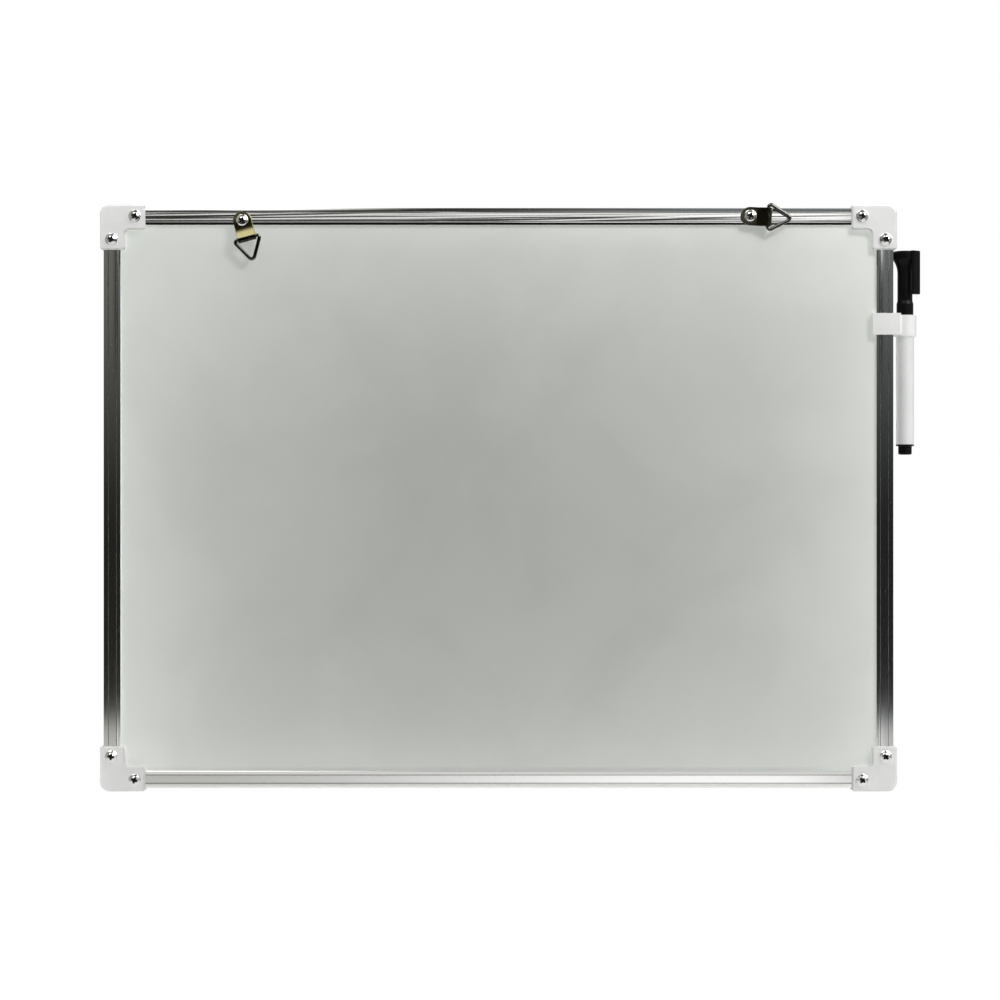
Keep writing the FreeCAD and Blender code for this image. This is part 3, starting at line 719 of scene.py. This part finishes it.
def recess_wing(look, turn):
    """One tapered wing of the cross recess, as a cutting solid."""
    bm = bmesh.new()
    rings = []
    for depth, half_span, half_width in WING_ENDS:
        corners = ((-1, -1), (1, -1), (1, 1), (-1, 1))
        y = depth - look.head_height
        rings.append([bm.verts.new((half_span * x, y, half_width * z)) for x, z in corners])
    for index in range(4):
        following = (index + 1) % 4
        bm.faces.new((rings[0][index], rings[0][following], rings[1][following], rings[1][index]))
    bm.faces.new(rings[0])
    bm.faces.new(rings[1])
    bmesh.ops.recalc_face_normals(bm, faces=bm.faces)
    bmesh.ops.rotate(bm, verts=bm.verts, cent=(0, 0, 0), matrix=Matrix.Rotation(turn, 3, "Y"))
    return bm


def recess_cup(look):
    """The round taper in the middle of the cross recess, as a cutting solid."""
    top, floor = CUP_START - look.head_height, CUP_DEPTH - look.head_height
    profile = [(0.0, top), (CUP_TOP_RADIUS, top), (CUP_FLOOR_RADIUS, floor), (0.0, floor + CUP_TIP)]
    return lathe(profile, 24)


def screw_mesh(look, tip, *materials):
    """Pan-head screw with a rounded rim and a tapered cross recess, which takes the second material, a painted
    shade.
    """
    cutters = []
    for bm in (recess_wing(look, 0.0), recess_wing(look, math.pi / 2), recess_cup(look)):
        for face in bm.faces:
            face.material_index = 1
        cutters.append(placed("recess", mesh_from(bm, "recess", *materials)))
    cut = {"operation": "DIFFERENCE", "solver": "EXACT"}
    cuts = [("BOOLEAN", {**cut, "object": cutter}) for cutter in cutters]
    sharp = math.radians(38)
    softened = {"width": SCREW_EDGE, "segments": 2, "limit_method": "ANGLE", "angle_limit": sharp}
    blank = mesh_from(lathe(screw_profile(look, tip), 48), "screw", *materials)
    mesh = with_modifiers(blank, *cuts, ("BEVEL", softened))
    for cutter in cutters:
        bpy.data.meshes.remove(cutter.data)
    mesh.shade_smooth()
    mesh.set_sharp_from_angle(angle=math.radians(40))
    return mesh


# Operators

class WHITEBOARD_OT_panel(bpy.types.Operator):
    """Finish the sheets and the core of the panel"""

    bl_idname = "whiteboard.panel"
    bl_label = "Panel"

    def execute(self, context):
        look = context.scene.whiteboard_panel
        sheet = lacquered_sheet(look)
        dress("back_sheet", sheet)
        dress("front_sheet", sheet)
        dress("core_board", fibreboard(look))
        return {"FINISHED"}


class WHITEBOARD_OT_rails(bpy.types.Operator):
    """Draw the four rails from their section, with the drawing lines along each"""

    bl_idname = "whiteboard.rails"
    bl_label = "Rails"

    def execute(self, context):
        look = context.scene.whiteboard_rail
        # Painted shade for the grooves
        groove = painted_shade_metal("painted shade in grooves", look.groove, Metallic=0.95, Roughness=0.3)
        for node, axis in RAILS.items():
            wave_depth = look.top_wave_depth if node == "top_rail" else look.wave_depth
            name = "drawn aluminium of the " + node.replace("_", " ")
            metal = drawn_aluminium(name, look, axis, wave_depth)
            piece_for(node, node + ".drawn", rail_mesh(node, look, metal, groove))
        return {"FINISHED"}


class WHITEBOARD_OT_corners(bpy.types.Operator):
    """Finish the four moulded corner pieces"""

    bl_idname = "whiteboard.corners"
    bl_label = "Corner pieces"

    def execute(self, context):
        look = context.scene.whiteboard_moulding
        white = moulded_white("moulded corner", look.white, look.shade, look.grain)
        for node in CORNERS:
            dress(node, white)
        return {"FINISHED"}


class WHITEBOARD_OT_screws(bpy.types.Operator):
    """Make the ten pan-head screws"""

    bl_idname = "whiteboard.screws"
    bl_label = "Screws"

    def execute(self, context):
        look = context.scene.whiteboard_hanger
        bright = {"roughness": 0.14, "wear": 0.16, "depth": PLATING_PIT_DEPTH}
        metal = plated("plated screw", look.screw, dimmed(look.screw, 0.88), **bright)
        low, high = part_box("corner_screws")
        seat = low.y + look.head_height
        # Painted shade for the cross recesses
        recess = painted_shade_metal("painted shade in recesses", look.recess, Roughness=0.7, Specular_IOR_Level=0.1)
        mesh = screw_mesh(look, high.y - seat, metal, recess)
        for node, turns in zip(CORNERS, SCREW_TURNS):
            for index, (spot, turn) in enumerate(zip(corner_spots(node), turns)):
                name = node.replace("corner", "screw") + "." + str(index + 1)
                screw = piece_for("corner_screws", name, mesh)
                screw.matrix_world = self.set_in(spot, seat, turn)
        for side, turn in HANGER_SCREW_TURNS.items():
            node = "hanger_" + side + "_screw"
            screw = piece_for(node, "screw_hanger_" + side, mesh)
            screw.matrix_world = self.set_in(hanger_spot(side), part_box(node)[0].y + look.head_height, turn)
        return {"FINISHED"}

    @staticmethod
    def set_in(spot, seat, turn):
        """The place of a screw at (x, z) whose recess is turned by so many degrees."""
        return Matrix.Translation((spot.x, seat, spot.y)) @ Matrix.Rotation(math.radians(turn), 4, "Y")


class WHITEBOARD_OT_hangers(bpy.types.Operator):
    """Round the pressed edges of the straps and finish the straps and rings"""

    bl_idname = "whiteboard.hangers"
    bl_label = "Hangers"

    def execute(self, context):
        look = context.scene.whiteboard_hanger
        flat = {"roughness": 0.13, "wear": 0.04, "depth": BRASS_PIT_DEPTH}
        worn = {"roughness": 0.22, "wear": 0.12, "depth": BEND_PIT_DEPTH}
        wire = {"roughness": 0.12, "wear": 0.1, "depth": PLATING_PIT_DEPTH}
        brass = plated("brass plating", look.strap, look.strap_tarnish, **flat)
        # Painted shade for the folds by the rings' bars
        fold_painted_shade = plated("painted shade at the fold", look.strap_fold_painted_shade, dimmed(look.strap_fold_painted_shade, 0.7), **worn)
        nickel = plated("dark nickel plating", look.ring, dimmed(look.ring, 0.8), **wire)
        # Painted shade for the right strap: a darker copy of the brass
        painted_shade_plating = plated("plating with painted shade", look.strap_painted_shade, dimmed(look.strap_painted_shade, 0.7), **flat)
        for side, plating in (("left", brass), ("right", painted_shade_plating)):
            node = "hanger_" + side + "_strap"
            mesh = rounded_mesh(node, look.strap_edge, plating, fold_painted_shade, second=self.fold_shade_faces(side))
            piece_for(node, "strap_" + side, mesh)
            dress("hanger_" + side + "_ring", nickel)
        return {"FINISHED"}

    @staticmethod
    def fold_shade_faces(side):
        """Tells the faces of a strap's fold, which take the painted shade: those past the near side of the ring's
        bar.
        """
        hinges = [joint for joint in frame["joints"] if joint["type"] == "hinge"]
        places = {joint["name"]: Vector(joint["pos_m"]) for joint in hinges}
        screw, bar = places[side + "_strap_swivel"], places[side + "_ring_swing"]
        along = (bar - screw) * Vector((1, 0, 1))
        reach = along.length - FOLD_LEAD
        along.normalize()
        return lambda face: (face.calc_center_median() - screw).dot(along) > reach


class WHITEBOARD_OT_pen_clip(bpy.types.Operator):
    """Round the edges of the pen clip and finish it"""

    bl_idname = "whiteboard.pen_clip"
    bl_label = "Pen clip"

    def execute(self, context):
        look = context.scene.whiteboard_moulding
        white = moulded_white("moulded clip", look.clip, look.clip_shade, look.grain)
        piece_for("pen_clip", "clip_on_rail", rounded_mesh("pen_clip", look.edge, white))
        return {"FINISHED"}


class WHITEBOARD_OT_marker(bpy.types.Operator):
    """Round the edges of the marker's pieces and finish them"""

    bl_idname = "whiteboard.marker"
    bl_label = "Marker"

    def execute(self, context):
        look = context.scene.whiteboard_marker
        white = moulded_white("marker white", look.barrel, look.barrel_shade, BARREL_GRAIN_DEPTH)
        black = black_moulding(look)
        rounded = {"marker_barrel": white, "marker_section": white, "marker_end_plug": black}
        for node, material in rounded.items():
            piece_for(node, node + ".rounded", rounded_mesh(node, look.edge, material))
        dress("marker_cap", black)
        dress("marker_nib", inked_felt("inked nib", look))
        dress("marker_reservoir", inked_felt("inked reservoir", look))
        return {"FINISHED"}


class WHITEBOARD_OT_stage(bpy.types.Operator):
    """Set up the camera, the lamps, the floor and the surroundings"""

    bl_idname = "whiteboard.stage"
    bl_label = "Stage"

    # Lamps as (name, place, point aimed at, width, height, brightness, whether they cast shadows). Those
    # that cast none stand close to the board and don't light the floor
    LAMPS = (
        ("lamp_left", (-0.30, -0.09, -0.156), (-0.10, 0.0, -0.156), 0.06, 0.40, 1.42, False),
        ("lamp_right", (0.30, -0.09, -0.186), (0.10, 0.0, -0.186), 0.06, 0.40, 1.28, False),
        ("lamp_top", (0.0, -0.06, 0.105), (0.0, 0.0, -0.08), 0.50, 0.06, 1.38, False),
        ("lamp_bottom", (0.0, -0.08, -0.387), (0.0, 0.0, -0.20), 0.50, 0.06, 0.97, False),
        ("lamp_above", (0.45, -0.40, 0.42), (0.0, 0.0, -0.14), 0.20, 0.15, 6.6, True),
        ("lamp_writing_side", (0.1, 0.9, 0.35), (0.0, 0.0, -0.14), 0.7, 0.5, 2.4, True),
        ("lamp_overhead", (0.0, 0.25, 1.1), (0.0, 0.1, -0.42), 0.5, 0.5, 2.0, True),
    )

    # Cards close to the board, as (name, (x, z) corners, brightness), and how far forward they stand
    CARD_Y = -0.012
    CARDS = (
        ("card_white", ((-0.18, -0.2795), (0.18, -0.2795), (0.18, -0.262), (-0.18, -0.262)), 0.72),
        ("card_black", (
            (-0.18, -0.023), (0.18, -0.023), (0.18, -0.0088),
            (0.05, -0.0088), (0.0, -0.005), (-0.18, -0.005),
        ), 0.01),
    )

    # The floor, its own glow, where that fades to white, and how bright polished metal mirrors it
    FLOOR_Y = 0.05
    FLOOR_RADIUS = 0.75
    FLOOR_TONE = (0.9, 0.9, 0.9)
    FLOOR_GLOW = 0.5
    FLOOR_FADE = (0.3, 0.7)
    FLOOR_MIRRORED = 0.33

    # What polished metal mirrors, in degrees of turn to the right and of rise, seen from the board. Fades
    # are (from, to, start, end), bands (low end, how soft, high end, how soft). First the dark screen
    SCREEN_FADE = (-1.0, 8.0, 0.016, 0.18)
    SCREEN_TOP = (5.4, 7.4)
    SCREEN_END = (-15.0, -13.0, 1.0, 0.0)
    DARK = 0.04
    INNER_TURNS = (-8.0, 0.2, 8.0, 0.2)
    INNER_RISE = (2.0, 4.0)
    INNER_DARK = 0.03

    # The bright strip low down, which grows to the right
    STRIP_RISES = (-14.0, 0.8, -4.85, 0.3)
    STRIP_GROWS = (-7.0, 5.0, 0.55, 1.1)
    STRIP_FALLS = (6.0, 9.0, 0.0, -0.5)

    # The slanted bright bar above the camera
    BAR_SLANT = 0.1
    BAR_TURNS = (-8.2, 0.3, 7.9, 0.4)
    BAR_RISES = (6.0, 0.25, 9.0, 0.6)
    BAR_GROWS = (-3.0, 5.0, 0.8, 1.2)

    # Tint of the dark parts, from left to right, and the brightness at which it is gone
    TINT_TURN = (-6.0, 6.0)
    TINT_LEFT = (1.0, 1.0, 0.88)
    TINT_RIGHT = (0.92, 0.97, 1.0)
    TINT_FADE = (0.3, 0.7, 1.0, 0.0)

    # Brighter patches round about, as (band of turns, band of rises, brightness)
    MIRRORED = (
        ((-170.0, 6.0, -62.0, 6.0), (-90.0, 1.0, 90.0, 1.0), 0.4),
        ((62.0, 6.0, 170.0, 6.0), (-90.0, 1.0, 90.0, 1.0), 0.4),
        ((6.0, 8.0, 60.0, 8.0), (40.0, 5.0, 62.0, 5.0), 0.5),
        ((-45.0, 6.0, -7.0, 5.0), (30.0, 5.0, 62.0, 5.0), 3.2),
        ((20.0, 4.0, 70.0, 5.0), (18.0, 4.0, 54.0, 4.0), 8.0),
        ((1.0, 3.0, 9.0, 1.0), (9.0, 1.0, 36.0, 3.0), 0.18),
    )

    def execute(self, context):
        look = context.scene.whiteboard_stage
        context.scene.camera = self.camera(look)
        floor = self.floor(look)
        board_only = bpy.data.collections.new("all but the floor")
        board_only.objects.link(floor)
        board_only.collection_objects[0].light_linking.link_state = "EXCLUDE"
        for *settings, shadows in self.LAMPS:
            lamp = self.lamp(*settings)
            if not shadows:
                lamp.data.use_shadow = False
                lamp.light_linking.receiver_collection = board_only
        for card in self.CARDS:
            self.card(*card)
        context.scene.world = self.surroundings(look)
        context.scene.view_settings.view_transform = "Standard"
        return {"FINISHED"}

    @staticmethod
    def camera(look):
        """Camera square to the frame."""
        data = bpy.data.cameras.new("camera")
        data.lens = data.sensor_width * look.camera_distance / look.view_width
        data.clip_start = 0.01
        eye = placed("camera", data)
        eye.location = (look.view_x, -look.camera_distance, look.view_z)
        eye.rotation_euler = (math.radians(90), 0.0, 0.0)
        return eye

    @staticmethod
    def lamp(name, place, aim, width, height, brightness):
        """Soft lamp that metal doesn't mirror: the surroundings stand for the studio there."""
        data = bpy.data.lights.new(name, "AREA")
        data.shape = "RECTANGLE"
        data.size = width
        data.size_y = height
        data.energy = math.pi**2 * width * height * brightness
        lamp = placed(name, data)
        lamp.location = place
        lamp.rotation_euler = (Vector(aim) - Vector(place)).to_track_quat("-Z", "Y").to_euler()
        lamp.visible_camera = False
        lamp.visible_glossy = False
        return lamp

    def floor(self, look):
        """Pale round floor that keeps a soft shadow, fades into the white and is clear from below."""
        bm = bmesh.new()
        bmesh.ops.create_circle(bm, cap_ends=True, radius=self.FLOOR_RADIUS, segments=96)
        floor = placed("floor", mesh_from(bm, "floor"))
        floor.location = (0.0, self.FLOOR_Y, look.floor_z)
        floor.visible_diffuse = False
        material = bpy.data.materials.new("pale floor")
        material.use_nodes = True
        nodes = Nodes(material.node_tree)
        material.node_tree.nodes.clear()
        path = nodes.add("ShaderNodeLightPath").outputs
        seen = nodes.math("MAXIMUM", path["Is Camera Ray"], path["Is Transmission Ray"])
        mirrored = nodes.math("MULTIPLY", path["Is Glossy Ray"], self.FLOOR_MIRRORED)
        spread = nodes.add("ShaderNodeVectorMath", {0: nodes.place()}, operation="LENGTH").outputs["Value"]
        faded = nodes.ramp(spread, *self.FLOOR_FADE, self.FLOOR_GLOW, 1.0)
        glow = nodes.math("MULTIPLY_ADD", seen, faded, mirrored)
        matt = nodes.add("ShaderNodeBsdfDiffuse", {"Color": self.FLOOR_TONE}).outputs[0]
        white = nodes.add("ShaderNodeEmission", {"Color": (1.0, 1.0, 1.0), "Strength": glow}).outputs[0]
        lit = nodes.add("ShaderNodeAddShader", {0: matt, 1: white}).outputs[0]
        below = nodes.add("ShaderNodeNewGeometry").outputs["Backfacing"]
        clear = nodes.add("ShaderNodeBsdfTransparent").outputs[0]
        one_sided = nodes.add("ShaderNodeMixShader", {0: below, 1: lit, 2: clear})
        nodes.add("ShaderNodeOutputMaterial", {"Surface": one_sided.outputs[0]})
        floor.data.materials.append(material)
        return floor

    def card(self, name, outline, brightness):
        """Upright card given by its (x, z) corners, which only polished metal mirrors."""
        bm = bmesh.new()
        bm.faces.new([bm.verts.new((x, self.CARD_Y, z)) for x, z in outline])
        material = bpy.data.materials.new(name)
        material.use_nodes = True
        nodes = Nodes(material.node_tree)
        material.node_tree.nodes.clear()
        glow = nodes.add("ShaderNodeEmission", {"Color": (1.0, 1.0, 1.0), "Strength": brightness})
        nodes.add("ShaderNodeOutputMaterial", {"Surface": glow.outputs[0]})
        card = placed(name, mesh_from(bm, name, material))
        for ray in ("camera", "diffuse", "transmission", "volume_scatter", "shadow"):
            setattr(card, "visible_" + ray, False)

    def surroundings(self, look):
        """White studio with a dark screen behind the camera, which the bright metal mirrors."""
        world = bpy.data.worlds.new("studio")
        world.use_nodes = True
        world.cycles.sampling_method = "NONE"
        nodes = Nodes(world.node_tree)
        world.node_tree.nodes.clear()
        place = nodes.add("ShaderNodeTexCoord").outputs["Generated"]
        way = nodes.add("ShaderNodeSeparateXYZ", {"Vector": place}).outputs
        forward = nodes.math("MULTIPLY", way["Y"], -1.0)
        turn = nodes.math("DEGREES", nodes.math("ARCTAN2", way["X"], forward))
        rise = nodes.math("DEGREES", nodes.math("ARCSINE", way["Z"]))

        # From the screen to what lies over it
        level = nodes.ramp(rise, *self.SCREEN_FADE)
        level = nodes.between(nodes.ramp(rise, *self.SCREEN_TOP), level, self.DARK)
        inside = nodes.window(turn, *self.INNER_TURNS)
        inner = nodes.math("MULTIPLY", inside, nodes.ramp(rise, *self.INNER_RISE))
        level = nodes.between(inner, level, self.INNER_DARK)
        strip = nodes.math("ADD", nodes.ramp(turn, *self.STRIP_GROWS), nodes.ramp(turn, *self.STRIP_FALLS))
        level = nodes.between(nodes.window(rise, *self.STRIP_RISES), level, strip)
        level = nodes.between(nodes.ramp(rise, *self.SCREEN_END), level, self.DARK)
        lifted = nodes.math("MULTIPLY_ADD", turn, self.BAR_SLANT, rise)
        across = nodes.window(turn, *self.BAR_TURNS)
        bar = nodes.math("MULTIPLY", across, nodes.window(lifted, *self.BAR_RISES))
        level = nodes.between(bar, level, nodes.ramp(turn, *self.BAR_GROWS))
        for turns, rises, bright in self.MIRRORED:
            mask = nodes.math("MULTIPLY", nodes.window(turn, *turns), nodes.window(rise, *rises))
            level = nodes.between(mask, level, bright)

        # Bare white for the camera, the studio for mirrors and a little light on matt surfaces
        path = nodes.add("ShaderNodeLightPath").outputs
        seen = nodes.math("MAXIMUM", path["Is Camera Ray"], path["Is Transmission Ray"])
        glossy = nodes.math("MULTIPLY", path["Is Glossy Ray"], level)
        matt = nodes.math("MULTIPLY", path["Is Diffuse Ray"], look.ambient)
        strength = nodes.math("ADD", nodes.math("ADD", glossy, matt), seen)
        tint = nodes.mix(nodes.ramp(turn, *self.TINT_TURN), self.TINT_LEFT, self.TINT_RIGHT)
        dim = nodes.math("MULTIPLY", path["Is Glossy Ray"], nodes.ramp(level, *self.TINT_FADE))
        tint = nodes.mix(dim, (1.0, 1.0, 1.0), tint)
        light = nodes.add("ShaderNodeBackground", {"Color": tint, "Strength": strength})
        nodes.add("ShaderNodeOutputWorld", {"Surface": light.outputs[0]})
        return world


OPERATORS = (
    WHITEBOARD_OT_panel,
    WHITEBOARD_OT_rails,
    WHITEBOARD_OT_corners,
    WHITEBOARD_OT_screws,
    WHITEBOARD_OT_hangers,
    WHITEBOARD_OT_pen_clip,
    WHITEBOARD_OT_marker,
    WHITEBOARD_OT_stage,
)


class VIEW3D_PT_whiteboard(bpy.types.Panel):
    """The board's operators and settings"""

    bl_label = "Whiteboard"
    bl_space_type = "VIEW_3D"
    bl_region_type = "UI"
    bl_category = "Whiteboard"

    def draw(self, context):
        for operator in OPERATORS:
            self.layout.operator(operator.bl_idname)
        for setting, group in SETTINGS.items():
            section = self.layout.box()
            section.label(text=group.__doc__)
            for name in group.__annotations__:
                section.prop(getattr(context.scene, setting), name)


CLASSES = (*SETTINGS.values(), *OPERATORS, VIEW3D_PT_whiteboard)


def register():
    for cls in CLASSES:
        bpy.utils.register_class(cls)
    for name, group in SETTINGS.items():
        setattr(bpy.types.Scene, name, PointerProperty(type=group))


def unregister():
    for name in SETTINGS:
        delattr(bpy.types.Scene, name)
    for cls in reversed(CLASSES):
        bpy.utils.unregister_class(cls)


def main():
    register()
    bpy.ops.whiteboard.panel()
    bpy.ops.whiteboard.rails()
    bpy.ops.whiteboard.corners()
    bpy.ops.whiteboard.screws()
    bpy.ops.whiteboard.hangers()
    bpy.ops.whiteboard.pen_clip()
    bpy.ops.whiteboard.marker()
    bpy.ops.whiteboard.stage()


if __name__ == "__main__":
    main()
